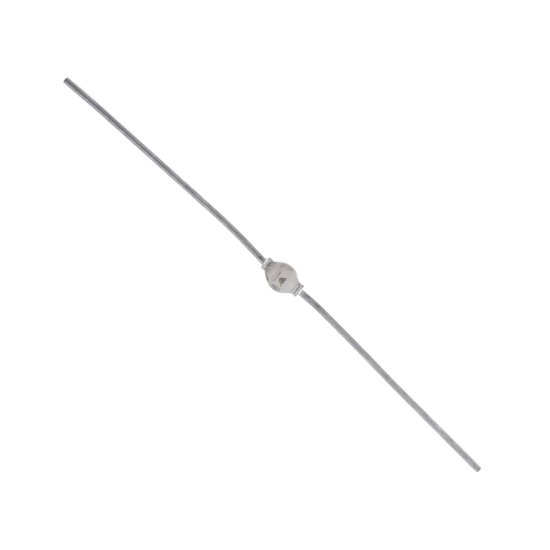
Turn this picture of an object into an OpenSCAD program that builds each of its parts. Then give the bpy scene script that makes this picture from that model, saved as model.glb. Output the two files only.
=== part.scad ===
// Axial rectifier diode: a sintered glass bead on two studs, with nail-headed wire leads.
// Sizes are in millimetres and angles in degrees.
// The bead's axis runs along X, with the cathode lead at -X and the anode lead at +X.
// The diode lies on the plane z = 0. The bead touches that plane at the origin, and each wire
// droops from its head until its cut end touches the plane too.

/* [Glass bead] */
// Largest diameter of the bead
glass_d = 3.56; // [2.6:0.02:5]
// Length of the glass along the axis
glass_l = 4.2; // [3:0.05:6]
// Thickness of the glass at its two ends
glass_lip = 0.06; // [0.04:0.01:0.2]
// Exponent of the bead's shoulders: larger values give a broader crown
glass_shoulder = 2.3; // [1.8:0.05:3]
// Exponent of the flank towards the cathode: larger values give a thinner flank
cathode_flank = 1.4; // [1.2:0.05:2.4]
// Exponent of the flank towards the anode
anode_flank = 1.9; // [1.2:0.05:2.4]

/* [Studs and braze] */
// Diameter of the two studs inside the bead
stud_d = 1.6; // [1.2:0.02:2]
// Length of each stud that stands out of the glass
stud_proud = 0.1; // [0.05:0.01:0.4]
// Thickness of the braze between a stud and a lead's head
braze_t = 0.05; // [0.03:0.01:0.15]
// Depth of the groove at the braze, below the stud's wall
braze_recess = 0.05; // [0.02:0.01:0.2]

/* [Silicon pellet] */
// Diameter of the pellet at its wide face, on the cathode side
pellet_d = 1.44; // [0.8:0.02:1.8]
// Thickness of the pellet
pellet_t = 0.28; // [0.2:0.01:0.5]
// Amount by which the bevelled rim makes the anode face's radius smaller
pellet_bevel = 0.1; // [0.04:0.01:0.2]
// Thickness of the solder on each face of the pellet
solder_t = 0.04; // [0.02:0.01:0.1]
// Bare margin of the pellet's anode face around the solder
solder_margin = 0.05; // [0.02:0.01:0.15]

/* [Lead wire] */
// Diameter of both wires
lead_d = 0.8; // [0.5:0.01:1]
// Chamfer at the cut ends of the wires
lead_end_chamfer = 0.06; // [0.02:0.01:0.15]
// Diameter of the upset head on each wire
head_d = 1.66; // [1.4:0.02:2.4]
// Thickness of each head
head_t = 0.35; // [0.25:0.01:0.8]
// Radius that rounds the rim of each head
head_edge_r = 0.06; // [0.03:0.01:0.12]
// Height of the cone that leads from each head into its wire
neck_h = 0.18; // [0.05:0.01:0.2]

/* [Cathode lead] */
// Length of the wire along its centre line, from the head to the cut end
cathode_l = 31.9; // [28:0.1:40]
// Straight wire between the head and the first bend
cathode_run_1 = 0.35; // [0.2:0.05:1]
// Turn of the first bend, towards +Y
cathode_bend_1 = 6.5; // [1:0.1:15]
// Centre-line radius of the first bend
cathode_bend_1_r = 3; // [2:0.5:10]
// Straight wire between the first and second bends
cathode_run_2 = 2.2; // [0.5:0.1:5]
// Turn of the second bend, towards -Y
cathode_bend_2 = 4.6; // [1:0.1:6]
// Centre-line radius of the second bend
cathode_bend_2_r = 68; // [20:1:80]
// Straight wire between the second and third bends
cathode_run_3 = 17.4; // [10:0.1:18]
// Turn of the third bend, towards -Y
cathode_bend_3 = 1.3; // [0.5:0.1:3]
// Centre-line radius of the third bend
cathode_bend_3_r = 60; // [20:1:80]

/* [Anode lead] */
// Length of the wire along its centre line, from the head to the cut end
anode_l = 29.8; // [20:0.1:40]
// Straight wire between the head and the bend
anode_run = 1.1; // [0.3:0.1:10]
// Turn of the bend, towards -Y
anode_bend = 5.3; // [1:0.1:15]
// Centre-line radius of the bend
anode_bend_r = 30; // [5:1:60]

/* [Hidden] */

$fn = 64;
outline_steps = 48;
rim_steps = 6;

// Places along the axis, counted outwards from the middle of the pellet
pellet_end = pellet_t / 2;
stud_start = pellet_end + solder_t;
glass_end = glass_l / 2;
stud_end = glass_end + stud_proud;
head_start = stud_end + braze_t;

// Radii about the axis
glass_r = glass_d / 2;
stud_r = stud_d / 2;
lip_r = stud_r + glass_lip;
pellet_r = pellet_d / 2;
pellet_anode_r = pellet_r - pellet_bevel;
solder_r = pellet_anode_r - solder_margin;
braze_r = stud_r - braze_recess;
head_r = head_d / 2;
lead_r = lead_d / 2;

// The bead carries the axis at this height above the plane that the diode lies on
axis_h = glass_r;

// Each wire starts inside its head, and the neck's cone ends inside the wire's wall,
// so that they still meet all round when the wire droops
head_root = head_t / 2;
neck_inset = 0.06;
neck_top_r = lead_r - neck_inset;

// A bend is drawn a little thinner than the wire, and each straight run laps over the bends at its ends
bend_thinning = 0.005;
bend_r = lead_r - bend_thinning;
bend_lap = 0.02;

// Bends along each wire as [straight run before the bend, turn towards +Y, centre-line radius]
cathode_bends = [
    [head_root + cathode_run_1, cathode_bend_1, cathode_bend_1_r],
    [cathode_run_2, -cathode_bend_2, cathode_bend_2_r],
    [cathode_run_3, -cathode_bend_3, cathode_bend_3_r]
];
anode_bends = [[head_root + anode_run, -anode_bend, anode_bend_r]];

glass_colour = [0.74, 0.72, 0.70];
silicon_colour = [0.30, 0.32, 0.36];
solder_colour = [0.80, 0.81, 0.83];
stud_colour = [0.45, 0.45, 0.47];
braze_colour = [0.36, 0.33, 0.31];
tin_colour = [0.66, 0.66, 0.68];

// Radius of the glass at a distance x from the bead's middle
function bead_radius(x) =
    let (flank = x < 0 ? cathode_flank : anode_flank)
    lip_r + (glass_r - lip_r) * pow(max(0, 1 - pow(abs(x) / glass_end, glass_shoulder)), flank);

// Points on an arc about a centre, from one angle to another
function arc(centre, radius, from, to) =
    [for (i = [0 : rim_steps])
        let (a = from + (to - from) * i / rim_steps)
        centre + radius * [cos(a), sin(a)]];

function bend_length(bend) = bend[2] * abs(bend[1]) * PI / 180;

// Wire used up by a list of bends and the straight runs before them
function bent_length(bends, i = 0) =
    i == len(bends) ? 0 : bends[i][0] + bend_length(bends[i]) + bent_length(bends, i + 1);

// Straight wire left after the last bend, up to the chamfer of the cut end
function tail(bends, wire_l) = head_root + wire_l - lead_end_chamfer - bent_length(bends);

// Distance along the axis that a wire reaches from its root, before it droops
function reach(bends, tail_l, heading = 0, i = 0) =
    i == len(bends) ? tail_l * cos(heading) :
    let (next = heading + bends[i][1])
    bends[i][0] * cos(heading) + bends[i][2] * abs(sin(next) - sin(heading))
        + reach(bends, tail_l, next, i + 1);

// Angle by which a wire of this reach droops to touch the plane under the bead
function droop(reach_l) = asin(axis_h / norm([reach_l, lead_r])) - atan(lead_r / reach_l);

// Turns a shape made along +Z onto the diode's axis, starting at x
module on_axis(x) {
    translate([x, 0, axis_h]) rotate([0, 90, 0]) children();
}

module axis_cylinder(start, end, radius) {
    on_axis(start) cylinder(r = radius, h = end - start);
}

// The diode's ends are drawn at +X, where the anode is, and mirrored for the cathode
module cathode_end() {
    mirror([1, 0, 0]) children();
}

module glass_bead() {
    outline = [for (i = [0 : outline_steps])
        let (x = glass_end * (2 * i / outline_steps - 1))
        [bead_radius(x), x]];
    cavity = [
        [stud_r, glass_end], [stud_r, stud_start],
        [solder_r, stud_start], [solder_r, pellet_end],
        [pellet_anode_r, pellet_end], [pellet_r, -pellet_end],
        [solder_r, -pellet_end], [solder_r, -stud_start],
        [stud_r, -stud_start], [stud_r, -glass_end]
    ];
    color(glass_colour) on_axis(0) rotate_extrude() polygon(concat(outline, cavity));
}

module silicon_pellet() {
    color(silicon_colour) on_axis(-pellet_end) cylinder(r1 = pellet_r, r2 = pellet_anode_r, h = pellet_t);
}

module pellet_solder() {
    color(solder_colour) axis_cylinder(pellet_end, stud_start, solder_r);
}

module stud() {
    color(stud_colour) axis_cylinder(stud_start, stud_end, stud_r);
}

module lead_braze() {
    color(braze_colour) axis_cylinder(stud_end, head_start, braze_r);
}

// Upset disc with a rounded rim, and the cone from it into the wire
module head() {
    rim_in = [head_r - head_edge_r, head_edge_r];
    rim_out = [head_r - head_edge_r, head_t - head_edge_r];
    section = concat(
        [[0, 0]],
        arc(rim_in, head_edge_r, -90, 0),
        arc(rim_out, head_edge_r, 0, 90),
        [[neck_top_r + neck_h, head_t], [neck_top_r, head_t + neck_h], [0, head_t + neck_h]]
    );
    on_axis(head_start) rotate_extrude() polygon(section);
}

module straight_wire(length) {
    translate([-bend_lap, 0, 0]) rotate([0, 90, 0]) cylinder(r = lead_r, h = length + 2 * bend_lap);
}

// Arc of wire that starts along +X and turns towards +Y, or towards -Y where the turn is negative
module wire_bend(turn, radius) {
    side = sign(turn);
    translate([0, side * radius, 0])
        rotate([0, 0, side > 0 ? -90 : 90 + turn])
        rotate_extrude(angle = abs(turn)) translate([radius, 0]) circle(r = bend_r);
}

// Last straight stretch of wire, with its chamfered cut end
module wire_tail(length) {
    chamfer_r = lead_r - lead_end_chamfer;
    chamfer_end = length + lead_end_chamfer;
    section = [
        [0, -bend_lap], [lead_r, -bend_lap], [lead_r, length],
        [chamfer_r, chamfer_end], [0, chamfer_end]
    ];
    rotate([0, 90, 0]) rotate_extrude() polygon(section);
}

// Wire along its bends, each drawn from where the one before it stopped
module bent_wire(bends, tail_l, i = 0) {
    if (i == len(bends)) {
        wire_tail(tail_l);
    } else {
        run = bends[i][0];
        turn = bends[i][1];
        radius = bends[i][2];
        straight_wire(run);
        translate([run, 0, 0]) wire_bend(turn, radius);
        translate([run + radius * sin(abs(turn)), sign(turn) * radius * (1 - cos(turn)), 0])
            rotate([0, 0, turn])
            bent_wire(bends, tail_l, i + 1);
    }
}

module lead(bends, wire_l) {
    tail_l = tail(bends, wire_l);
    color(tin_colour) union() {
        head();
        translate([head_start + head_root, 0, axis_h])
            rotate([0, droop(reach(bends, tail_l)), 0])
            bent_wire(bends, tail_l);
    }
}

module cathode_pellet_solder() {
    cathode_end() pellet_solder();
}

module anode_pellet_solder() {
    pellet_solder();
}

module cathode_stud() {
    cathode_end() stud();
}

module anode_stud() {
    stud();
}

module cathode_lead_braze() {
    cathode_end() lead_braze();
}

module anode_lead_braze() {
    lead_braze();
}

module cathode_lead() {
    cathode_end() lead(cathode_bends, cathode_l);
}

module anode_lead() {
    lead(anode_bends, anode_l);
}

glass_bead();
silicon_pellet();
cathode_pellet_solder();
anode_pellet_solder();
cathode_stud();
anode_stud();
cathode_lead_braze();
anode_lead_braze();
cathode_lead();
anode_lead();
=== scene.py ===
"""Studio scene of an axial rectifier diode: an opaque glass bead with two nail-headed wire leads.

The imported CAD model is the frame. The glass, the studs, the braze and the leads are modelled again
in finer detail and stand for their CAD nodes; the pellet and its solder stay as they are, sealed
in the glass. Sizes are in millimetres and are turned into metres where Blender is called.
"""

from __future__ import annotations

import logging
import math
from dataclasses import dataclass
from enum import Enum
from functools import cached_property

import bpy
from mathutils import Matrix, Vector


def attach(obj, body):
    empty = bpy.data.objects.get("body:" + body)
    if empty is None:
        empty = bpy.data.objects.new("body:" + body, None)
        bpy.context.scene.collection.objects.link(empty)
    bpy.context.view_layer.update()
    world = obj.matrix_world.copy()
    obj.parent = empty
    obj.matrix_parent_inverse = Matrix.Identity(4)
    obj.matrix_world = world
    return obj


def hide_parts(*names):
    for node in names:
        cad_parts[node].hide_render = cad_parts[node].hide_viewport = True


Tree = bpy.types.NodeTree
Socket = bpy.types.NodeSocket
Piece = bpy.types.Object
Colour = tuple[float, float, float, float]
Triple = tuple[float, float, float]
Span = tuple[float, float]
Ramp = list[tuple[float, Colour]]
# What goes into a node: values, or output sockets to link from, by name or index or in order
Inputs = dict[str | int, object] | list[object]

MM = 0.001
AXIS_HEIGHT = 1.78
PHOTO_SIDE = 550
BODY = "root"
# Nearly all of a noise lies in this span
NOISE_RANGE: Span = (0.3, 0.7)
# How strong each octave of a noise is against the coarser one before it
EVEN, ROUGH = 0.5, 0.6
# Sockets of a Mix node that mixes colours
MIX_SHARE, MIX_UNDER, MIX_OVER, MIX_RESULT = 0, 6, 7, 2

log = logging.getLogger("diode")
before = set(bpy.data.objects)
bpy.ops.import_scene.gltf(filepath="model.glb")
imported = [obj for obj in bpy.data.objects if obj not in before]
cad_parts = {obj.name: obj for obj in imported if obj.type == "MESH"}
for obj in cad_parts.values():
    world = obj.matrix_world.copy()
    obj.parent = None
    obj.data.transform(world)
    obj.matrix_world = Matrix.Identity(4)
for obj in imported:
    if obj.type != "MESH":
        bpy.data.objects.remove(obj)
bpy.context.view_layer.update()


class End(Enum):
    """The two ends of the diode, as the direction of each along the bead's axis."""

    CATHODE = -1
    ANODE = 1

    def heading(self) -> Vector:
        """Direction from the bead's middle towards this end."""
        return Vector((self.value, 0, 0))

    def point(self, along: float) -> Vector:
        """Point on the bead's axis at a distance from its middle, in millimetres."""
        return Vector((self.value * along, 0, AXIS_HEIGHT))


class Cut(Enum):
    """How the far end of a wire was cut, as the radius of its corner in millimetres."""

    SHEARED = 0.12
    TUMBLED = 0.2


class Octaves(Enum):
    """How much detail a noise has, from soft clouds to fine grain."""

    SOFT = 2.0
    CLOUDY = 3.0
    WORN = 4.0
    RAGGED = 5.0
    FINE = 6.0


def linear(hex_colour: str) -> Colour:
    """Turn an sRGB colour into the linear colour that shaders use.

    Args:
        hex_colour: Six hex digits, such as "C4C2BE".

    Returns:
        Red, green, blue and an alpha of 1.
    """
    channels = [int(hex_colour[i : i + 2], 16) / 255 for i in (0, 2, 4)]
    red, green, blue = (
        c / 12.92 if c <= 0.04045 else ((c + 0.055) / 1.055) ** 2.4 for c in channels
    )
    return red, green, blue, 1.0


def ramp_of(places: tuple[float, ...], *shades: str) -> Ramp:
    """Set sRGB colours at their places on a colour ramp."""
    return [(place, linear(shade)) for place, shade in zip(places, shades, strict=True)]


def fill_inputs(node: bpy.types.Node, inputs: Inputs) -> None:
    """Set or link the inputs of a node.

    Args:
        node: The node.
        inputs: What goes into it; a list fills the inputs in their own order.
    """
    for name, value in inputs.items() if isinstance(inputs, dict) else enumerate(inputs):
        if isinstance(value, Socket):
            node.id_data.links.new(value, node.inputs[name])
        else:
            node.inputs[name].default_value = value


def add_node(
    tree: Tree,
    kind: str,
    inputs: Inputs | None = None,
    out: str | int = 0,
    ramp: Ramp | None = None,
    **settings: object,
) -> Socket:
    """Add a shader node with its settings, its input values and its links.

    Args:
        tree: The node tree that gets the node.
        kind: The node's type, without its "ShaderNode" prefix.
        inputs: What goes into it. A list for a "MapRange" node holds the value, the span that it
            comes from and the span that it is turned into.
        out: Name or index of the output that the caller goes on with.
        ramp: Positions and colours of a colour ramp.
        settings: Properties of the node itself.

    Returns:
        The output socket.
    """
    node = tree.nodes.new("ShaderNode" + kind)
    for name, value in settings.items():
        setattr(node, name, value)
    for i, (position, colour) in enumerate(ramp or ()):
        if i > 1:
            node.color_ramp.elements.new(position)
        node.color_ramp.elements[i].position = position
        node.color_ramp.elements[i].color = colour
    fill_inputs(node, inputs or {})
    return node.outputs[out]


def lay_over(
    tree: Tree,
    under: Socket,
    over: Socket | Colour,
    level: Socket,
    fade: Span,
    strength: float = 1.0,
    smooth: bool = False,
) -> Socket:
    """Lay one colour over another, as thickly as a level says.

    Args:
        tree: The material's node tree.
        under: The colour below.
        over: The colour on top.
        level: The level.
        fade: The levels at which nothing of the top colour shows, and at which it is full.
        strength: How much of the top colour shows where it is full.
        smooth: Whether it fades in and out softly.

    Returns:
        The mixed colour.
    """
    easing = "SMOOTHSTEP" if smooth else "LINEAR"
    share = add_node(
        tree, "MapRange", [level, *fade, 0.0, strength], interpolation_type=easing
    )
    layers = {MIX_SHARE: share, MIX_UNDER: under, MIX_OVER: over}
    return add_node(tree, "Mix", layers, MIX_RESULT, data_type="RGBA")


class RingSweep:
    """A tube that grows from one ring of vertices: extruded, resized, tilted and spun by hand."""

    def __init__(
        self,
        name: str,
        sides: int,
        centre: Vector,
        heading: Vector,
        radius: float,
        capped: bool = True,
    ) -> None:
        """Add the first ring and leave its rim selected in edit mode.

        Args:
            name: Name of the new piece.
            sides: Number of vertices round the ring.
            centre: Middle of the ring, in millimetres.
            heading: Direction in which the tube grows.
            radius: Radius of the ring, in millimetres.
            capped: Whether a disc closes the tube's start.
        """
        self.centre = centre.copy()
        self.heading = heading.normalized()
        self.radius = radius
        bpy.ops.object.select_all(action="DESELECT")
        bpy.ops.mesh.primitive_circle_add(
            vertices=sides,
            radius=radius * MM,
            fill_type="TRIFAN" if capped else "NOTHING",
            location=self.centre * MM,
            rotation=self.heading.to_track_quat("Z", "Y").to_euler(),
        )
        self.piece = bpy.context.active_object
        self.piece.name = self.piece.data.name = name
        bpy.ops.object.transform_apply(location=True, rotation=True, scale=True)
        bpy.ops.object.mode_set(mode="EDIT")
        bpy.ops.mesh.select_mode(type="EDGE")
        bpy.ops.mesh.select_all(action="SELECT")
        if capped:
            bpy.ops.mesh.region_to_loop()

    def resize(self, radius: float) -> None:
        """Give the last ring a new radius.

        Args:
            radius: The radius, in millimetres.
        """
        factor = radius / self.radius
        bpy.ops.transform.resize(value=(factor,) * 3, center_override=self.centre * MM)
        self.radius = radius

    def shift(self, offset: Vector) -> None:
        """Move the last ring sideways by an offset in millimetres."""
        bpy.ops.transform.translate(value=offset * MM)
        self.centre += offset

    def grow(self, length: float, radius: float | None = None) -> None:
        """Extrude the last ring along the heading.

        Args:
            length: Length of the new stretch, in millimetres.
            radius: Radius at its end, in millimetres, or None to keep the last one.
        """
        step = self.heading * length
        bpy.ops.mesh.extrude_region_move(TRANSFORM_OT_translate={"value": step * MM})
        self.centre += step
        if radius is not None:
            self.resize(radius)

    def follow(self, section: list[Span]) -> None:
        """Extrude along a section of distances from the bead's middle and radii, in millimetres."""
        for along, radius in section:
            self.grow(along - abs(self.centre.x), radius)

    def run(self, length: float, pitch: float) -> None:
        """Extrude a straight stretch in steps.

        Args:
            length: Length of the stretch, in millimetres.
            pitch: Largest length of one step, in millimetres.
        """
        steps = max(1, math.ceil(length / pitch))
        for _ in range(steps):
            self.grow(length / steps)

    def tilt(self, angle: float) -> None:
        """Turn the last ring and the heading about Y by an angle in radians."""
        # With no window the operator turns the other way
        bpy.ops.transform.rotate(value=-angle, orient_axis="Y", center_override=self.centre * MM)
        self.heading.rotate(Matrix.Rotation(angle, 3, "Y"))

    def bend(self, turn: float, radius: float, axis: Vector, pitch: float) -> None:
        """Spin the last ring along an arc.

        Args:
            turn: Angle of the bend about the axis, in radians.
            radius: Radius of the centre line, in millimetres.
            axis: Direction of the bend's axis.
            pitch: Largest length of one step, in millimetres.
        """
        side = axis.cross(self.heading).normalized() * math.copysign(1, turn)
        hub = self.centre + side * radius
        steps = max(2, math.ceil(radius * abs(turn) / pitch))
        # With no window the operator turns the other way
        bpy.ops.mesh.spin(steps=steps, angle=-turn, center=hub * MM, axis=axis)
        rotation = Matrix.Rotation(turn, 3, axis)
        self.centre = hub + rotation @ (self.centre - hub)
        self.heading.rotate(rotation)

    def close(self) -> None:
        """Shut the tube's end with a disc."""
        bpy.ops.mesh.extrude_region_move()
        bpy.ops.mesh.merge(type="CENTER")

    def join_ends(self) -> None:
        """Bridge the tube's open end to its open start."""
        bpy.ops.mesh.select_non_manifold()
        bpy.ops.mesh.bridge_edge_loops()

    def finish(self) -> Piece:
        """Turn all faces outwards and leave edit mode.

        Returns:
            The piece, which is the active object.
        """
        bpy.ops.mesh.select_all(action="SELECT")
        bpy.ops.mesh.normals_make_consistent(inside=False)
        bpy.ops.object.mode_set(mode="OBJECT")
        return self.piece


@dataclass(frozen=True)
class Dent:
    """A dent or, with a negative depth, a swelling: its place, its depth and its reach."""

    place: Triple
    depth: float
    reach: float

    def press(self, piece: Piece) -> None:
        """Push the surface in at the vertex nearest to the dent's place.

        Args:
            piece: The piece, which is the active object.
        """
        place = Vector(self.place) * MM
        bpy.ops.object.mode_set(mode="EDIT")
        bpy.ops.mesh.select_mode(type="VERT")
        bpy.ops.mesh.select_all(action="DESELECT")
        bpy.ops.object.mode_set(mode="OBJECT")
        nearest = min(piece.data.vertices, key=lambda v: (v.co - place).length)
        nearest.select = True
        push = nearest.normal * (-self.depth * MM)
        bpy.ops.object.mode_set(mode="EDIT")
        bpy.ops.transform.translate(
            value=push,
            use_proportional_edit=True,
            proportional_edit_falloff="SMOOTH",
            proportional_size=self.reach * MM,
        )
        bpy.ops.object.mode_set(mode="OBJECT")


@dataclass(frozen=True)
class Lumps:
    """Shallow lumps that sink into a piece, so that it never grows past its turned shape."""

    size: float
    depth: float

    def sink(self, piece: Piece, group: str = "") -> None:
        """Sink the lumps into a piece.

        Args:
            piece: The piece, which is the active object.
            group: Vertex group that limits them, or nothing for the whole piece.
        """
        texture = bpy.data.textures.new(f"{piece.name}_lumps", "CLOUDS")
        texture.noise_scale = self.size * MM
        texture.noise_depth = 1
        bpy.ops.object.modifier_add(type="DISPLACE")
        modifier = piece.modifiers[-1]
        modifier.texture = texture
        modifier.texture_coords = "LOCAL"
        modifier.vertex_group = group
        # Only white leaves the surface where it is, and all else sinks it
        modifier.mid_level = 1.0
        modifier.strength = self.depth * MM
        bpy.ops.object.modifier_apply(modifier=modifier.name)


@dataclass(frozen=True, kw_only=True)
class Finish:
    """A real material, named for what it is; each kind of finish paints its own nodes."""

    name: str

    def paint(self, tree: Tree, mm: Socket) -> dict[str, object]:
        """Add the finish's own nodes and return the shader's inputs; each kind has its own way."""
        raise NotImplementedError

    @cached_property
    def material(self) -> bpy.types.Material:
        """Make the material for the first piece that asks for it, and share it after that.

        Returns:
            The material.
        """
        material = bpy.data.materials.new(self.name)
        material.use_nodes = True
        tree = material.node_tree
        place = add_node(tree, "TexCoord", out="Object")
        mm = add_node(tree, "Mapping", {"Vector": place, "Scale": (1 / MM,) * 3})
        fill_inputs(tree.nodes["Principled BSDF"], self.paint(tree, mm))
        return material

    def cover(self, piece: Piece) -> None:
        """Give a piece this finish alone."""
        piece.data.materials.clear()
        piece.data.materials.append(self.material)


@dataclass(frozen=True)
class StainOrPaintedLight:
    """A ragged patch of another colour, each one a stain, a painted highlight or painted shade: its
    middle and half sizes, turned about Z in degrees.
    """

    colour: str
    middle: Triple
    half: Triple
    strength: float
    turn: float = 0.0
    grain_mm: float = 0.3
    ragged: float = 1.2
    # The patch is gone at the first of these distances from its middle and full at the second
    fade: Span = (1.9, 0.9)

    def lay(self, tree: Tree, mm: Socket, under: Socket) -> Socket:
        """Lay the patch over a colour.

        Args:
            tree: The material's node tree.
            mm: Place on the piece, in millimetres.
            under: The colour below the patch.

        Returns:
            The colour with the patch on it.
        """
        turn = (0, 0, math.radians(self.turn))
        place = {"Vector": mm, "Location": self.middle, "Rotation": turn, "Scale": self.half}
        local = add_node(tree, "Mapping", place, vector_type="TEXTURE")
        distance = add_node(tree, "VectorMath", [local], "Value", operation="LENGTH")
        noise = {"Vector": mm, "Scale": 1 / self.grain_mm, "Detail": Octaves.RAGGED.value}
        grain = add_node(tree, "TexNoise", noise, "Fac")
        edge = add_node(tree, "Math", [grain, self.ragged, distance], operation="MULTIPLY_ADD")
        shade = linear(self.colour)
        return lay_over(tree, under, shade, edge, self.fade, self.strength, smooth=True)


@dataclass(frozen=True)
class PolarityMark:
    """A worn diode symbol printed on top of the bead: a solid triangle that points at a bar.

    Places along the axis are counted from the bead's middle, places across it from the axis.
    """

    ink: str = "4E4440"
    apex: float = -0.42
    base: float = 0.54
    half_height: float = 0.7
    bar: float = -0.52
    stroke: float = 0.25
    middle: float = -0.36
    # The print is only on the glass above this height
    above: float = 2.4
    wear_mm: float = 0.26
    wear: float = 0.5
    # The ink is gone at the first of these depths inside the mark, less its wear, and full at the
    # second
    fade: Span = (-0.25, -0.11)
    strength: float = 0.78

    def outline(self, tree: Tree, mm: Socket) -> Socket:
        """Draw the mark.

        Args:
            tree: The material's node tree.
            mm: Place on the piece, in millimetres.

        Returns:
            Distance from the nearest edge of the mark, which is more than 0 inside it.
        """
        x, y, z = add_node(tree, "SeparateXYZ", [mm]).node.outputs
        across = add_node(tree, "Math", [y, self.middle], operation="SUBTRACT")
        across = add_node(tree, "Math", [across], operation="ABSOLUTE")
        slope = self.half_height / (self.base - self.apex)
        flank = add_node(tree, "Math", [x, slope, -self.apex * slope], operation="MULTIPLY_ADD")
        flank = add_node(tree, "Math", [flank, across], operation="SUBTRACT")
        foot = add_node(tree, "Math", [self.base, x], operation="SUBTRACT")
        triangle = add_node(tree, "Math", [flank, foot], operation="MINIMUM")
        # The triangle counts as no deeper than the bar, so that both wear alike
        triangle = add_node(tree, "Math", [triangle, self.stroke / 2], operation="MINIMUM")
        side = add_node(tree, "Math", [x, self.bar], operation="SUBTRACT")
        side = add_node(tree, "Math", [side], operation="ABSOLUTE")
        side = add_node(tree, "Math", [self.stroke / 2, side], operation="SUBTRACT")
        tip = add_node(tree, "Math", [self.half_height, across], operation="SUBTRACT")
        bar = add_node(tree, "Math", [side, tip], operation="MINIMUM")
        mark = add_node(tree, "Math", [triangle, bar], operation="MAXIMUM")
        top = add_node(tree, "Math", [z, self.above], operation="SUBTRACT")
        return add_node(tree, "Math", [mark, top], operation="MINIMUM")

    def lay(self, tree: Tree, mm: Socket, under: Socket) -> Socket:
        """Print the mark over a colour.

        Args:
            tree: The material's node tree.
            mm: Place on the piece, in millimetres.
            under: The colour below the print.

        Returns:
            The printed colour.
        """
        mark = self.outline(tree, mm)
        noise = {"Vector": mm, "Scale": 1 / self.wear_mm, "Detail": Octaves.WORN.value}
        wear = add_node(tree, "TexNoise", noise, "Fac")
        mark = add_node(tree, "Math", [wear, -self.wear, mark], operation="MULTIPLY_ADD")
        shade = linear(self.ink)
        return lay_over(tree, under, shade, mark, self.fade, self.strength, smooth=True)


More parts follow.
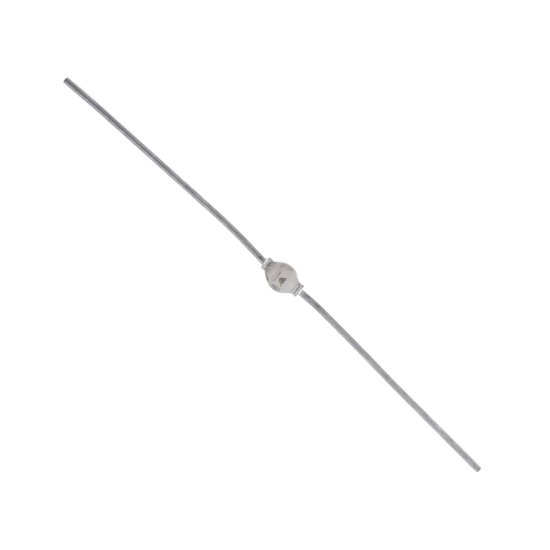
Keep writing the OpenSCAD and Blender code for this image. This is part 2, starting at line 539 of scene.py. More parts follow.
@dataclass(frozen=True, kw_only=True)
class SinteredGlass(Finish):
    """Opaque glass, pale grey frit that was sintered round the stack and melted to a satin skin.

    The eye sees a soft grey that leans to mauve towards the cathode, faint clouds, a fine grain
    left by the frit, dark specks where the glass creeps onto the studs, and a few patches of colour
    from firing. Painted shade darkens both side edges; the -Y side is darker still under the mark,
    with a dark streak by the dent on the cathode's half.
    """

    name: str = "sintered_glass"
    ior: float = 1.5
    specular: float = 0.35
    roughness: Span = (0.36, 0.5)
    # Colours of the clean glass, from mauve to pale, and the tones at which they show
    shades: tuple[str, ...] = ("C6C1C0", "C9C6C3", "D4D3D1")
    tones: Triple = (0.3, 0.6, 0.9)
    # The lean to mauve: how much it takes from the tone and adds to it, and from where to where
    lean: Span = (-0.25, 0.35)
    lean_range: Span = (-1.8, 1.4)
    cloud_mm: float = 1.1
    # Real frit grain is about 0.05 mm; it is drawn coarser so that it shows in the render
    grain_mm: float = 0.2
    # How far the grain darkens and lightens the colour
    fleck: Span = (0.86, 1.14)
    relief_mm: float = 0.01
    relief_strength: float = 0.6
    ash: str = "6E6D70"
    ash_mm: float = 0.2
    ash_strength: float = 0.8
    # Ash shows from the first of these sums of cover and noise, and is full at the second
    ash_range: Span = (0.66, 0.86)
    ash_reach: float = 2.1
    # How thickly ash lies on the glass, from the cathode's lip at 0 to the anode's lip at 1
    ash_cover: tuple[Span, ...] = (
        (0.0, 0.32),
        (0.08, 0.26),
        (0.2, 0.08),
        (0.35, 0.0),
        (0.89, 0.0),
        (0.925, 0.16),
        (0.96, 0.0),
    )
    stains_and_painted_light: tuple[StainOrPaintedLight, ...] = (
        StainOrPaintedLight("968E91", (-0.9, 1.0, 2.9), (0.18, 0.6, 0.9), 0.75, -8),
        StainOrPaintedLight("B5AAAD", (-0.5, 1.2, 2.8), (0.6, 0.5, 0.8), 0.6),
        # Painted shade: darker towards the +Y side edge
        StainOrPaintedLight("A3A3A3", (0.1, 1.4, 2.5), (0.5, 0.4, 0.8), 0.6),
        StainOrPaintedLight("DCDCDA", (1.05, 1.2, 2.5), (0.6, 0.5, 0.8), 0.6),
        StainOrPaintedLight("CDC0B5", (0.3, -0.5, 3.4), (0.7, 0.8, 0.8), 0.5),
        # Painted shade: darker over the -Y flank
        StainOrPaintedLight("A09C99", (0.1, -1.6, 2.2), (1.0, 0.6, 0.7), 0.5),
        # Darker along the -Y side under the mark
        StainOrPaintedLight("6B6864", (0.1, -1.5, 2.75), (1.0, 0.48, 1.2), 0.95, 0, 0.4, 2.1),
        StainOrPaintedLight("ACA5A2", (-0.78, -0.1, 3.2), (0.24, 1.3, 1.0), 0.5, -4, 0.2),
        # A dark streak along the -Y side of the cathode's half, by the dent there
        StainOrPaintedLight("343231", (-1.22, -1.27, 2.35), (0.42, 0.14, 0.28), 1.0, -30.5, 0.15),
        StainOrPaintedLight("7C7A79", (-1.68, -1.02, 2.0), (0.45, 0.12, 0.5), 0.8, -31, 0.2),
        StainOrPaintedLight("9A9A9A", (1.84, -0.25, 2.5), (0.13, 1.0, 0.6), 0.55),
        StainOrPaintedLight("5E5E5E", (2.04, 0.58, 2.3), (0.16, 0.2, 0.34), 0.95),
    )
    mark: PolarityMark = PolarityMark()

    def paint(self, tree: Tree, mm: Socket) -> dict[str, object]:
        """Paint the clouded, stained and printed glass, with its painted shade.

        Args:
            tree: The material's node tree.
            mm: Place on the piece, in millimetres.

        Returns:
            The shader's inputs.
        """
        x = add_node(tree, "SeparateXYZ", [mm], "X")
        noise = {"Vector": mm, "Scale": 1 / self.cloud_mm, "Detail": Octaves.SOFT.value}
        cloud = add_node(tree, "TexNoise", noise, "Fac")
        noise = {"Vector": mm, "Scale": 1 / self.grain_mm, "Detail": Octaves.FINE.value}
        grain = add_node(tree, "TexNoise", noise | {"Roughness": ROUGH}, "Fac")
        colour = self.fired_colour(tree, x, cloud, grain)
        # Stained patches and painted shade, then the print
        for layer in (*self.stains_and_painted_light, self.mark):
            colour = layer.lay(tree, mm, colour)
        bump = {"Height": grain, "Strength": self.relief_strength, "Distance": self.relief_mm * MM}
        return {
            "Base Color": self.lay_ash(tree, mm, x, colour),
            "Roughness": add_node(tree, "MapRange", [cloud, *NOISE_RANGE, *self.roughness]),
            "IOR": self.ior,
            "Specular IOR Level": self.specular,
            "Normal": add_node(tree, "Bump", bump, "Normal"),
        }

    def fired_colour(self, tree: Tree, x: Socket, cloud: Socket, grain: Socket) -> Socket:
        """Colour the clean glass, clouded, flecked and leaning to mauve.

        Args:
            tree: The material's node tree.
            x: Place along the axis, in millimetres.
            cloud: The clouds' noise.
            grain: The frit grain's noise.

        Returns:
            The colour.
        """
        lean = add_node(tree, "MapRange", [x, *self.lean_range, *self.lean])
        tone = add_node(tree, "Math", [cloud, lean], operation="ADD")
        colour = add_node(tree, "ValToRGB", [tone], ramp=ramp_of(self.tones, *self.shades))
        fleck = add_node(tree, "MapRange", [grain, *NOISE_RANGE, *self.fleck])
        return add_node(tree, "HueSaturation", {"Color": colour, "Value": fleck})

    def lay_ash(self, tree: Tree, mm: Socket, x: Socket, under: Socket) -> Socket:
        """Speckle the glass with ash near its lips.

        Args:
            tree: The material's node tree.
            mm: Place on the piece, in millimetres.
            x: Place along the axis, in millimetres.
            under: The colour below the ash.

        Returns:
            The speckled colour.
        """
        noise = {"Vector": mm, "Scale": 1 / self.ash_mm, "Detail": Octaves.CLOUDY.value}
        specks = add_node(tree, "TexNoise", noise, "Fac")
        along = add_node(tree, "MapRange", [x, -self.ash_reach, self.ash_reach])
        levels = [(place, (level, level, level, 1)) for place, level in self.ash_cover]
        cover = add_node(tree, "ValToRGB", [along], ramp=levels)
        ash = add_node(tree, "Math", [cover, specks], operation="ADD")
        return lay_over(tree, under, linear(self.ash), ash, self.ash_range, self.ash_strength)


@dataclass(frozen=True, kw_only=True)
class TinnedCopper(Finish):
    """Copper wire, drawn through a die, headed, and dipped in tin.

    The eye sees satin grey metal with long faint streaks from the die, patches of dull oxide under
    a cool or a warm film, flux-stained patches on the head, and a bright ring of fresh tin in the
    neck. A painted highlight whitens the top of the head's rim, its face and the neck, and painted
    shade darkens the sides of the head.
    """

    bright: str
    oxide: str
    near_bead: str
    far: str
    head: str
    head_stain: str
    rim: str
    neck: str
    roughness: float
    far_roughness: float
    # Where the head's side, its rim with its face, and the neck stop, from the bead's middle
    side_stop: float
    face_stop: float
    neck_stop: float
    stains_and_painted_light: tuple[StainOrPaintedLight, ...]
    # Half the width of the soft edge between two of those zones
    zone_edge: float = 0.01
    # Flux leaves a skin on the head that mirrors less than bare metal
    head_metallic: float = 0.25
    # The wire dulls towards the bead and turns to another tone towards its end, which on the
    # cathode's wire is painted shade: from where to where, and how much
    near_range: Span = (11.0, 3.6)
    near_share: float = 0.8
    far_range: Span = (14.0, 26.0)
    far_share: float = 0.6
    patch_mm: Triple = (2.2, 0.35, 0.35)
    # Die lines are about 0.02 mm apart; they are drawn coarser so that they show
    streak_mm: Triple = (3.0, 0.1, 0.1)
    streak_share: float = 0.5
    # The sums of patches and streaks at which the metal is all oxide and all bright
    tones: Span = (0.5, 0.95)
    # Pits are about 0.05 mm wide; they are drawn coarser so that they show
    pit_mm: Triple = (0.4, 0.16, 0.16)
    pit_share: float = 1.5
    # How far the pits darken and lighten the colour
    fleck: Span = (0.77, 1.25)
    film_mm: Triple = (1.4, 1.1, 1.1)
    warm: str = "F4F4F3"
    cool: str = "F0EFF6"
    # The noise at which the film is all warm and all cool
    film_tones: Span = (0.35, 0.65)
    head_stain_mm: float = 0.4
    # The noise at which the head's side is all stained and all clean
    head_tones: Span = (0.4, 0.6)
    # How much smoother the bright patches are than the dull ones
    polish: float = 0.2
    relief_mm: float = 0.008
    relief_strength: float = 0.5

    def paint(self, tree: Tree, mm: Socket) -> dict[str, object]:
        """Paint the streaked wire, its head and its neck.

        Args:
            tree: The material's node tree.
            mm: Place on the piece, in millimetres.

        Returns:
            The shader's inputs.
        """
        x = add_node(tree, "SeparateXYZ", [mm], "X")
        along = add_node(tree, "Math", [x], operation="ABSOLUTE")
        noises = []
        for size, octaves, roughness in (
            (self.patch_mm, Octaves.FINE, ROUGH),
            (self.streak_mm, Octaves.RAGGED, EVEN),
            (self.pit_mm, Octaves.WORN, ROUGH),
            (self.film_mm, Octaves.SOFT, EVEN),
        ):
            place = {"Vector": mm, "Scale": size}
            drawn = add_node(tree, "Mapping", place, vector_type="TEXTURE")
            noise = {"Vector": drawn, "Scale": 1.0, "Detail": octaves.value}
            noises.append(add_node(tree, "TexNoise", noise | {"Roughness": roughness}, "Fac"))
        patch, streak, pits, film = noises
        tone = add_node(tree, "Math", [streak, self.streak_share, patch], operation="MULTIPLY_ADD")
        colour = self.wire_colour(tree, along, tone, film)
        colour = self.lay_head(tree, mm, along, colour)
        # Stained patches, painted highlights and painted shade, laid one after another
        for stain in self.stains_and_painted_light:
            colour = stain.lay(tree, mm, colour)
        fleck = add_node(tree, "MapRange", [pits, *NOISE_RANGE, *self.fleck])
        face = (self.face_stop - self.zone_edge, self.face_stop + self.zone_edge)
        depth = add_node(tree, "Math", [pits, self.pit_share, streak], operation="MULTIPLY_ADD")
        bump = {"Height": depth, "Strength": self.relief_strength, "Distance": self.relief_mm * MM}
        return {
            "Base Color": add_node(tree, "HueSaturation", {"Color": colour, "Value": fleck}),
            "Metallic": add_node(tree, "MapRange", [along, *face, self.head_metallic, 1.0]),
            "Roughness": self.wire_roughness(tree, along, patch),
            "Normal": add_node(tree, "Bump", bump, "Normal"),
        }

    def wire_colour(self, tree: Tree, along: Socket, tone: Socket, film: Socket) -> Socket:
        """Colour the wire, duller near the bead and with another tone towards its end, painted shade
        on the cathode's wire.

        Args:
            tree: The material's node tree.
            along: Distance along the axis from the bead's middle, in millimetres.
            tone: Noise of the patches and streaks.
            film: Noise of the oxide film.

        Returns:
            The colour.
        """
        metal = ramp_of(self.tones, self.oxide, self.bright)
        colour = add_node(tree, "ValToRGB", [tone], ramp=metal)
        tints = ramp_of(self.film_tones, self.warm, self.cool)
        tint = add_node(tree, "ValToRGB", [film], ramp=tints)
        for zone, most, shade in (
            (self.near_range, self.near_share, self.near_bead),
            (self.far_range, self.far_share, self.far),
        ):
            colour = lay_over(tree, colour, linear(shade), along, zone, most)
        layers = {MIX_SHARE: 1.0, MIX_UNDER: colour, MIX_OVER: tint}
        return add_node(
            tree, "Mix", layers, MIX_RESULT, data_type="RGBA", blend_type="MULTIPLY"
        )

    def lay_head(self, tree: Tree, mm: Socket, along: Socket, under: Socket) -> Socket:
        """Colour the neck, the head's rim with its face, and the head's side.

        Args:
            tree: The material's node tree.
            mm: Place on the piece, in millimetres.
            along: Distance along the axis from the bead's middle, in millimetres.
            under: The wire's colour.

        Returns:
            The colour of the whole lead.
        """
        noise = {"Vector": mm, "Scale": 1 / self.head_stain_mm, "Detail": Octaves.CLOUDY.value}
        flux = add_node(tree, "TexNoise", noise, "Fac")
        stained = ramp_of(self.head_tones, self.head_stain, self.head)
        side = add_node(tree, "ValToRGB", [flux], ramp=stained)
        colour = under
        for stop, shade in (
            (self.neck_stop, linear(self.neck)),
            (self.face_stop, linear(self.rim)),
            (self.side_stop, side),
        ):
            edge = (stop + self.zone_edge, stop - self.zone_edge)
            colour = lay_over(tree, colour, shade, along, edge)
        return colour

    def wire_roughness(self, tree: Tree, along: Socket, patch: Socket) -> Socket:
        """Make the bright patches smoother than the dull ones.

        Args:
            tree: The material's node tree.
            along: Distance along the axis from the bead's middle, in millimetres.
            patch: Noise of the patches.

        Returns:
            The roughness.
        """
        ageing = [along, *self.far_range, self.roughness, self.far_roughness]
        aged = add_node(tree, "MapRange", ageing)
        mean = add_node(tree, "Math", [patch, -self.polish, aged], operation="MULTIPLY_ADD")
        return add_node(tree, "Math", [mean, self.polish / 2], operation="ADD")


@dataclass(frozen=True, kw_only=True)
class StainedMetal(Finish):
    """A bare metal with a cloudy stain that dulls it, for the parts in and beside the glass."""

    light: str
    dark: str
    stain_mm: float
    roughness: float
    # How much the stain adds to the roughness, and the clean metal takes from it
    dulling: float = 0.12
    relief_mm: float = 0.01
    relief_strength: float = 0.5

    def paint(self, tree: Tree, mm: Socket) -> dict[str, object]:
        """Paint the clouded metal.

        Args:
            tree: The material's node tree.
            mm: Place on the piece, in millimetres.

        Returns:
            The shader's inputs.
        """
        noise = {"Vector": mm, "Scale": 1 / self.stain_mm, "Detail": Octaves.WORN.value}
        stain = add_node(tree, "TexNoise", noise, "Fac")
        metal = ramp_of(NOISE_RANGE, self.dark, self.light)
        dull, clean = self.roughness + self.dulling, self.roughness - self.dulling
        bump = {"Height": stain, "Strength": self.relief_strength, "Distance": self.relief_mm * MM}
        return {
            "Base Color": add_node(tree, "ValToRGB", [stain], ramp=metal),
            "Metallic": 1.0,
            "Roughness": add_node(tree, "MapRange", [stain, 0.0, 1.0, dull, clean]),
            "Normal": add_node(tree, "Bump", bump, "Normal"),
        }


@dataclass(frozen=True, kw_only=True)
class WhiteAcrylic(Finish):
    """White acrylic sheet, cast and sanded, lit from below as the top of a light table.

    The eye sees an even white with hardly any clouds and no mirror image of what lies on it.
    """

    name: str = "white_acrylic_table"
    dark: str = "F7F7F7"
    light: str = "FAFAFA"
    cloud_mm: float = 40.0
    ior: float = 1.49
    roughness: float = 0.6
    glow: float = 0.4
    glow_colour: str = "FFFFFF"

    def paint(self, tree: Tree, mm: Socket) -> dict[str, object]:
        """Paint the glowing sheet.

        Args:
            tree: The material's node tree.
            mm: Place on the sheet, in millimetres.

        Returns:
            The shader's inputs.
        """
        cloud = add_node(tree, "TexNoise", {"Vector": mm, "Scale": 1 / self.cloud_mm}, "Fac")
        whites = ramp_of(NOISE_RANGE, self.dark, self.light)
        return {
            "Base Color": add_node(tree, "ValToRGB", [cloud], ramp=whites),
            "Roughness": self.roughness,
            "IOR": self.ior,
            "Emission Color": linear(self.glow_colour),
            "Emission Strength": self.glow,
        }


@dataclass(kw_only=True)
class Part:
    """A piece of the diode that is modelled in fine detail and stands for its CAD node."""

    name: str
    node: str
    slot: str
    finish: Finish
    # Edges that turn by more than this many degrees stay crisp
    crease: float = 40.0

    def shape(self) -> Piece:
        """Model the piece and return it; each kind of part has its own way."""
        raise NotImplementedError

    def dress(self, piece: Piece) -> None:
        """Smooth the piece's shading and give it its finish."""
        bpy.ops.object.shade_smooth_by_angle(angle=math.radians(self.crease))
        self.finish.cover(piece)

    def build(self) -> Piece:
        """Model and dress the piece, and put it on the diode's body in place of its CAD node.

        Returns:
            The finished piece.
        """
        piece = self.shape()
        self.dress(piece)
        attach(piece, BODY)
        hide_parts(self.node)
        return piece


@dataclass(kw_only=True)
class GlassBead(Part):
    """The glass, sintered round the stack of studs and pellet, a little off its axis."""

    radius: float = 1.745
    half_length: float = 2.07
    cathode_lip: float = 0.79
    anode_lip: float = 0.83
    wall: float = 0.03
    # Powers that shape the shoulder and the two flanks
    shoulder: float = 2.3
    cathode_flank: float = 1.4
    anode_flank: float = 1.9
    # Sideways and downward drift of the glass from the studs' axis, which leaves it on the floor
    drift: Span = (-0.11, -0.035)
    # Powers by which the drift fades towards each lip
    cathode_return: float = 18
    anode_return: float = 5
    bore_end: float = 0.18
    pellet_radius: float = 0.72
    sides: int = 96
    rings: int = 72
    lumps: Lumps = Lumps(1.2, 0.02)
    # Only glass that stands further out than this share of the lip is uneven
    skin_from: float = 1.05
    dents: tuple[Dent, ...] = (
        Dent((-0.95, -1.6, 1.7), 0.1, 0.25),
        Dent((0.8, 1.5, 1.9), -0.04, 0.6),
    )

    def outline(self, x: float) -> float:
        """Find the radius of the glass.

        Args:
            x: Distance along the axis from the bead's middle, in millimetres.

        Returns:
            The radius there, in millimetres.
        """
        flank, lip = self.anode_flank, self.anode_lip
        if x < 0:
            flank, lip = self.cathode_flank, self.cathode_lip
        rise = max(0.0, 1 - (abs(x) / self.half_length) ** self.shoulder) ** flank
        return lip + (self.radius - lip) * rise

    def off_axis(self, x: float) -> Vector:
        """Drift of the glass's middle at a distance x along the axis, in millimetres."""
        power = self.cathode_return if x < 0 else self.anode_return
        return Vector((0, *self.drift)) * (1 - (abs(x) / self.half_length) ** power)

    def shape(self) -> Piece:
        """Turn the glass from lip to lip, bore it and work its skin.

        Returns:
            The piece.
        """
        start = End.CATHODE.point(self.half_length)
        heading = End.ANODE.heading()
        sweep = RingSweep(self.name, self.sides, start, heading, self.cathode_lip, capped=False)
        step = 2 * self.half_length / self.rings
        for i in range(1, self.rings + 1):
            x = -self.half_length + step * i
            sweep.grow(step, self.outline(x))
            sweep.shift(self.off_axis(x) - self.off_axis(x - step))
        self.bore(sweep)
        piece = sweep.finish()
        self.work_skin(piece)
        return piece

    def bore(self, sweep: RingSweep) -> None:
        """Go back through the glass along the studs and the pellet, and meet the first lip.

        Args:
            sweep: The glass, which has reached the anode's lip.
        """
        sweep.grow(0, self.anode_lip - self.wall)
        sweep.grow(self.bore_end - self.half_length)
        sweep.grow(0, self.pellet_radius)
        sweep.grow(-2 * self.bore_end)
        sweep.grow(0, self.cathode_lip - self.wall)
        sweep.grow(self.bore_end - self.half_length)
        sweep.join_ends()

    def work_skin(self, piece: Piece) -> None:
        """Make the outer skin uneven and press its dents.

        Args:
            piece: The turned and bored glass.
        """
        skin = piece.vertex_groups.new(name="skin")
        axis = Vector((0, 0, AXIS_HEIGHT * MM))
        inner = self.skin_from * self.anode_lip * MM
        outer = [v.index for v in piece.data.vertices if (v.co - axis).yz.length > inner]
        skin.add(outer, 1.0, "REPLACE")
        self.lumps.sink(piece, skin.name)
        for dent in self.dents:
            dent.press(piece)


@dataclass(kw_only=True)
class Stud(Part):
    """A molybdenum stud, of which a thin ring shows at the end of the glass."""

    end: End
    radius: float
    start: float = 0.18
    stop: float = 2.2
    edge: float = 0.03
    sides: int = 64
    pitch: float = 0.1
    crease: float = 30.0

    def shape(self) -> Piece:
        """Turn the stud with its broken edges.

        Returns:
            The piece.
        """
        start = self.end.point(self.start)
        inner = self.radius - self.edge
        sweep = RingSweep(self.name, self.sides, start, self.end.heading(), inner)
        sweep.grow(self.edge, self.radius)
        sweep.run(self.stop - self.start - 2 * self.edge, self.pitch)
        sweep.grow(self.edge, inner)
        sweep.close()
        return sweep.finish()


@dataclass(kw_only=True)
class BrazeJoint(Part):
    """The braze between a stud and a lead's head, sunk into a groove."""

    end: End
    radius: float
    fillet: float
    start: float = 2.2
    stop: float = 2.25
    sides: int = 64
    # How much of the fillet is left at each quarter of the joint
    waist: tuple[float, ...] = (0.3, 0.0, 0.3, 1.0)
    crease: float = 50.0

    def shape(self) -> Piece:
        """Turn the waisted layer.

        Returns:
            The piece.
        """
        start = self.end.point(self.start)
        rim = self.radius + self.fillet
        sweep = RingSweep(self.name, self.sides, start, self.end.heading(), rim)
        step = (self.stop - self.start) / len(self.waist)
        for share in self.waist:
            sweep.grow(step, self.radius + self.fillet * share)
        sweep.close()
        return sweep.finish()


@dataclass(frozen=True)
class Bend:
    """One bend: the straight run before it, its turn towards +Y in degrees, and its radius."""

    run: float
    turn: float
    radius: float

    def length(self) -> float:
        """Length of the bend along its centre line, in millimetres."""
        return self.radius * abs(math.radians(self.turn))


@dataclass(kw_only=True)
class Lead(Part):
    """A wire with an upset head, a coned neck, hand-made bends and a cut end."""

    end: End
    length: float
    bends: tuple[Bend, ...]
    cut: Cut
    head_stop: float
    outer_rim: float
    neck_start: float
    neck_stop: float
    # The lumps sink the surface, so that the mean radius is 0.4
    radius: float = 0.408
    lumps: Lumps = Lumps(0.7, 0.016)
    head_start: float = 2.25
    head_radius: float = 0.83
    inner_chamfer: float = 0.05
    # Steps of the inner chamfer: share of its length, and what is left of its depth
    chamfer_steps: tuple[Span, ...] = ((0.5, 0.45), (1.0, 0.08))
    # Length over which the chamfer rounds into the head's side
    inner_round: float = 0.03
    # Steps of the outer rim: what is left of its length, and how much of its depth is cut
    rim_steps: tuple[Span, ...] = ((1.0, 0.0), (0.3, 0.3), (0.0, 1.0))
    root: float = 2.425
    neck_radius: float = 0.56
    # Steps of the cone from the head to the wire: share of its length, and what is left of its rise
    neck_steps: tuple[Span, ...] = ((0.3, 0.66), (0.3, 0.34), (0.25, 0.09), (0.15, 0.0))
    # Play at the wire's tip, which keeps the drooping end just off the floor
    tip_play: float = 0.06
    cut_steps: int = 4
    sides: int = 48
    pitch: float = 0.15

    def tail(self) -> float:
        """Straight wire left after the last bend, in millimetres."""
        return self.length - sum(b.run + b.length() for b in self.bends)

    def reach(self) -> float:
        """Find how far the wire reaches along the axis before it droops.

        Returns:
            The distance from the wire's root to its tip, less the play there, in millimetres.
        """
        heading, reach = 0.0, 0.0
        for bend in self.bends:
            turned = heading + math.radians(bend.turn)
            arc = bend.radius * abs(math.sin(turned) - math.sin(heading))
            reach += bend.run * math.cos(heading) + arc
            heading = turned
        return reach + (self.tail() - self.tip_play) * math.cos(heading)

    def droop(self) -> float:
        """Find the angle by which the wire droops until its end touches the floor.

        Returns:
            The angle, in radians.
        """
        reach = self.reach()
        lift = math.asin(AXIS_HEIGHT / math.hypot(reach, self.radius))
        return lift - math.atan(self.radius / reach)

    def shape(self) -> Piece:
        """Grow the head, the neck and the wire from one ring.

        Returns:
            The piece.
        """
        start = self.end.point(self.head_start)
        inner = self.head_radius - self.inner_chamfer
        sweep = RingSweep(self.name, self.sides, start, self.end.heading(), inner)
        self.grow_head(sweep)
        self.grow_neck(sweep)
        self.grow_wire(sweep)
        self.cut_end(sweep)
        piece = sweep.finish()
        self.lumps.sink(piece)
        return piece

    def grow_head(self, sweep: RingSweep) -> None:
        """Grow the upset head with its rounded inner chamfer and its crisp outer rim.

        Args:
            sweep: The lead, which starts with a ring at the braze.
        """
        chamfer, rim = self.inner_chamfer, self.outer_rim
        inner = [
            (self.head_start + chamfer * share, self.head_radius - chamfer * left)
            for share, left in self.chamfer_steps
        ]
        side = (self.head_start + chamfer + self.inner_round, self.head_radius)
        outer = [
            (self.head_stop - rim * left, self.head_radius - rim * cut)
            for left, cut in self.rim_steps
        ]
        sweep.follow([*inner, side, *outer])

    def grow_neck(self, sweep: RingSweep) -> None:
        """Draw the head's face in to the drooping wire and cone it down to the wire.

        Args:
            sweep: The lead, which has reached the edge of the head's face.
        """
        droop = self.droop()
        sweep.follow([(self.neck_start, self.neck_radius)])
        sweep.shift(Vector((0, 0, -math.tan(droop) * (self.neck_start - self.root))))
        sweep.tilt(droop * self.end.value)
        length = (self.neck_stop - self.neck_start) / math.cos(droop)
        for share, left in self.neck_steps:
            sweep.grow(length * share, self.radius + (self.neck_radius - self.radius) * left)

    def grow_wire(self, sweep: RingSweep) -> None:
        """Grow the straight runs and spin the bends between them.

        Args:
            sweep: The lead, which has reached the end of the neck.
        """
        axis = sweep.heading.cross(Vector((0, 1, 0))).normalized()
        done = (self.neck_stop - self.root) / math.cos(self.droop())
        for bend in self.bends:
            sweep.run(bend.run - done, self.pitch)
            sweep.bend(math.radians(bend.turn), bend.radius, axis, self.pitch)
            done = 0.0

    def cut_end(self, sweep: RingSweep) -> None:
        """Grow the last straight stretch and round the corner of the cut.

        Args:
            sweep: The lead, which has reached the end of its last bend.
        """
        corner = self.cut.value
        sweep.run(self.tail() - corner, self.pitch)
        for i in range(1, self.cut_steps + 1):
            angle = math.pi / 2 * i / self.cut_steps
            before = math.sin(math.pi / 2 * (i - 1) / self.cut_steps)
            length = corner * (math.sin(angle) - before)
            sweep.grow(length, self.radius - corner * (1 - math.cos(angle)))
        sweep.close()


@dataclass(kw_only=True)
class SealedStack:
    """The pellet and the solder on its faces: CAD nodes that stay, as the glass hides them."""

    pellet: Finish
    solder: Finish

    def dress(self) -> dict[str, Finish]:
        """Give the CAD nodes their finishes.

        Returns:
            The finish of each node, by the node's name.
        """
        finishes = {
            "silicon_pellet": self.pellet,
            "cathode_pellet_solder": self.solder,
            "anode_pellet_solder": self.solder,
        }
        for node, finish in finishes.items():
            finish.cover(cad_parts[node])
        return finishes


@dataclass(kw_only=True)
class Studio:
    """The plain floor, the light tent and the camera that looks straight down."""

    aim: Triple = (-0.849, -0.380, 1.2)
    turn: float = 40.05
    points_per_mm: float = 8.55
    lens: float = 200.0
    sensor: float = 36.0
    floor_side: float = 3000.0
    # Brightness of the tent by the height of the direction, from -1 below to 1 above
    tent_levels: tuple[Span, ...] = (
        (-0.05, 0.25),
        (0.0, 0.95),
        (0.35, 1.05),
        (0.65, 1.0),
        (0.85, 0.74),
        (1.0, 0.42),
    )
    box_side: float = 260.0
    box_place: Triple = (-40.0, -330.0, 210.0)
    box_watts: float = 0.15

    def build(self) -> None:
        """Set up the floor, the light and the camera."""
        self.lay_floor(WhiteAcrylic())
        self.light_tent()
        self.hang_softbox()
        self.place_camera()
        bpy.context.scene.view_settings.view_transform = "Standard"

    def lay_floor(self, finish: Finish) -> None:
        """Lay the light table under the diode.

        Args:
            finish: The table's finish.
        """
        bpy.ops.object.select_all(action="DESELECT")
        bpy.ops.mesh.primitive_plane_add(size=self.floor_side * MM)
        floor = bpy.context.active_object
        floor.name = "studio_floor"
        # The diode's undersides stay darker than the table, as on a small table in a large tent
        floor.visible_diffuse = False
        finish.cover(floor)

    def light_tent(self) -> None:
        """Surround the diode with a bright tent that has a darker opening for the camera."""
        world = bpy.data.worlds.new("light_tent")
        bpy.context.scene.world = world
        world.use_nodes = True
        tree = world.node_tree
        place = add_node(tree, "TexCoord", out="Generated")
        height = add_node(tree, "SeparateXYZ", [place], "Z")
        share = add_node(tree, "MapRange", [height, -1.0, 1.0])
        ramp = [((1 + z) / 2, (level, level, level, 1)) for z, level in self.tent_levels]
        tent = add_node(tree, "ValToRGB", [share], ramp=ramp)
        fill_inputs(tree.nodes["Background"], {"Color": tent})

    def hang_softbox(self) -> None:
        """Hang a large soft light beside the diode, low on its -Y side."""
        data = bpy.data.lights.new("softbox", "AREA")
        data.size = self.box_side * MM
        data.energy = self.box_watts
        light = bpy.data.objects.new("softbox", data)
        bpy.context.scene.collection.objects.link(light)
        light.location = Vector(self.box_place) * MM
        light.rotation_euler = (-light.location).to_track_quat("-Z", "Y").to_euler()

    def place_camera(self) -> None:
        """Hang the camera over the diode, turned as in the photograph."""
        data = bpy.data.cameras.new("camera")
        data.lens = self.lens
        data.sensor_width = self.sensor
        camera = bpy.data.objects.new("camera", data)
        bpy.context.scene.collection.objects.link(camera)
        width = PHOTO_SIDE / self.points_per_mm
        distance = width * self.lens / self.sensor
        camera.location = (Vector(self.aim) + Vector((0, 0, distance))) * MM
        camera.rotation_euler = (0, 0, math.radians(self.turn))
        bpy.context.scene.camera = camera


# Molybdenum, sintered, swaged and cut, oxidised while the glass was fired: a thin dull grey ring
MOLYBDENUM_OXIDISED = StainedMetal(
    name="molybdenum_oxidised", light="B8B7B7", dark="868484", stain_mm=0.25, roughness=0.5
)
# The same metal where the firing left it cleaner: a paler grey ring
MOLYBDENUM = StainedMetal(
    name="molybdenum", light="D2D1D1", dark="A8A6A6", stain_mm=0.25, roughness=0.5
)
# Copper-based braze, melted between stud and head and tarnished: a dull warm line in a groove
BRAZE_ALLOY = StainedMetal(
    name="braze_alloy", light="B0ABA6", dark="7A746F", stain_mm=0.2, roughness=0.5
)
# Silicon, sawn, bevelled and etched: dark blue-grey with a metal's lustre
SILICON = StainedMetal(name="silicon", light="59606E", dark="3F444E", stain_mm=0.2, roughness=0.3)
# Aluminium solder, melted in a thin layer: pale satin metal
ALUMINIUM_SOLDER = StainedMetal(
    name="aluminium_solder", light="CFD0D2", dark="A9ABAF", stain_mm=0.15, roughness=0.4
)
# The cathode's wire is painted darker than the anode's, and darker still towards its cut end:
# painted shade for the darker tent that it mirrors
TINNED_COPPER = TinnedCopper(
    name="tinned_copper",
    bright="C2C2C3",
    oxide="88888A",
    near_bead="A4A4A3",
    # Painted shade towards the cut end
    far="8D8C91",
    head="CECECF",
    head_stain="B2B2B3",
    rim="B0B0B1",
    neck="C8C8C8",
    roughness=0.44,
    far_roughness=0.22,
    side_stop=2.56,
    face_stop=2.76,
    neck_stop=2.82,
    stains_and_painted_light=(
        StainOrPaintedLight("606062", (-3.4, 0.08, 2.1), (0.5, 0.2, 0.3), 0.6),
        StainOrPaintedLight("8C8C8E", (-10.3, 0.6, 1.3), (3.4, 1.5, 1.5), 0.25),
        # Painted shade on the two sides of the head
        StainOrPaintedLight("8E8E90", (-2.45, 0.64, 2.3), (0.22, 0.16, 0.4), 0.6),
        StainOrPaintedLight("9A9A9C", (-2.45, -0.66, 2.25), (0.22, 0.16, 0.4), 0.5),
        StainOrPaintedLight("8C8C8C", (-2.46, -0.02, 2.6), (0.11, 0.24, 0.3), 0.7),
        # Painted highlight: white over the top of the head's rim, its face and the neck
        StainOrPaintedLight("FFFFFF", (-2.69, 0.08, 2.45), (0.22, 0.5, 0.48), 1.0, grain_mm=0.6),
        StainOrPaintedLight("3C3C3E", (-34.4, 1.33, 0.5), (0.16, 0.6, 0.6), 0.75),
    ),
)
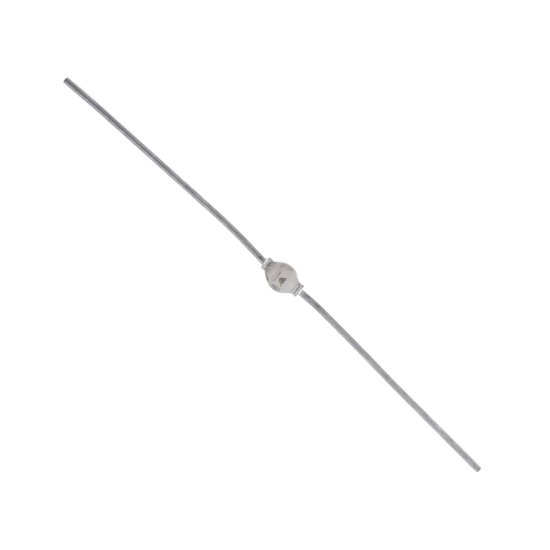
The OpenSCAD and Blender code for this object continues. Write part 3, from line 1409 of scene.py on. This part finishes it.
# The anode's wire is duller and paler, and stays pale to its end
TINNED_COPPER_DULL = TinnedCopper(
    name="tinned_copper_dull",
    bright="C7C7C7",
    oxide="ADADAE",
    near_bead="B0B0B1",
    far="CFCFCF",
    head="D4D4D4",
    head_stain="BCBCBC",
    rim="B4B4B4",
    neck="D4D4D4",
    roughness=0.66,
    far_roughness=0.72,
    side_stop=2.47,
    face_stop=2.62,
    neck_stop=2.77,
    stains_and_painted_light=(
        StainOrPaintedLight("C8C7CA", (2.95, 0.0, 2.1), (0.18, 0.5, 0.5), 0.7),
        StainOrPaintedLight("7E7D83", (3.7, 0.14, 2.05), (0.4, 0.15, 0.4), 0.6),
        StainOrPaintedLight("7E7D83", (5.4, 0.08, 2.0), (0.6, 0.16, 0.4), 0.65),
        # Painted shade on the head's +Y side
        StainOrPaintedLight("A2A2A2", (2.42, 0.66, 2.3), (0.22, 0.16, 0.4), 0.5),
        # Painted highlight: white over the top of the head's rim, its face and the neck
        StainOrPaintedLight("FFFFFF", (2.69, 0.02, 2.42), (0.18, 0.7, 0.48), 1.0, grain_mm=0.6),
        StainOrPaintedLight("F2F2F2", (25.7, -1.7, 1.0), (2.6, 0.6, 0.7), 0.6, grain_mm=0.2, ragged=2.5),
        StainOrPaintedLight("8A8A8C", (31.98, -2.45, 0.8), (0.14, 0.18, 0.3), 0.4),
    ),
)

DIODE: tuple[Part, ...] = (
    GlassBead(
        name="bead_glass", node="glass_bead", slot="sintered_glass", finish=SinteredGlass()
    ),
    Stud(
        name="cathode_stud_turned",
        node="cathode_stud",
        slot="stud_metal",
        finish=MOLYBDENUM_OXIDISED,
        end=End.CATHODE,
        radius=0.76,
    ),
    BrazeJoint(
        name="cathode_braze_joint",
        node="cathode_lead_braze",
        slot="braze",
        finish=BRAZE_ALLOY,
        end=End.CATHODE,
        radius=0.755,
        fillet=0.015,
    ),
    Lead(
        name="cathode_wire_lead",
        node="cathode_lead",
        slot="tinned_wire",
        finish=TINNED_COPPER,
        end=End.CATHODE,
        length=32.075,
        bends=(Bend(0.525, 6.5, 3), Bend(2.2, -4.6, 68), Bend(17.4, -1.3, 60)),
        cut=Cut.SHEARED,
        head_stop=2.66,
        outer_rim=0.08,
        neck_start=2.74,
        neck_stop=2.83,
    ),
    Stud(
        name="anode_stud_turned",
        node="anode_stud",
        slot="stud_metal",
        finish=MOLYBDENUM,
        end=End.ANODE,
        radius=0.8,
    ),
    BrazeJoint(
        name="anode_braze_joint",
        node="anode_lead_braze",
        slot="braze",
        finish=BRAZE_ALLOY,
        end=End.ANODE,
        radius=0.74,
        fillet=0.03,
    ),
    Lead(
        name="anode_wire_lead",
        node="anode_lead",
        slot="tinned_wire",
        finish=TINNED_COPPER_DULL,
        end=End.ANODE,
        length=29.99,
        bends=(Bend(1.275, -5.3, 30), Bend(5.5, -0.85, 100), Bend(3.0, 1.15, 100)),
        cut=Cut.TUMBLED,
        head_stop=2.61,
        outer_rim=0.07,
        neck_start=2.64,
        neck_stop=2.78,
    ),
)


def main() -> None:
    """Build the studio and the diode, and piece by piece."""
    logging.basicConfig(level=logging.INFO, format="%(name)s: %(message)s")
    Studio().build()
    for part in DIODE:
        piece = part.build()
        log.info("%s: %d faces, %s", piece.name, len(piece.data.polygons), part.finish.name)
    stack = SealedStack(pellet=SILICON, solder=ALUMINIUM_SOLDER)
    for node, finish in stack.dress().items():
        log.info("%s: kept from the CAD model, %s", node, finish.name)


if __name__ == "__main__":
    main()
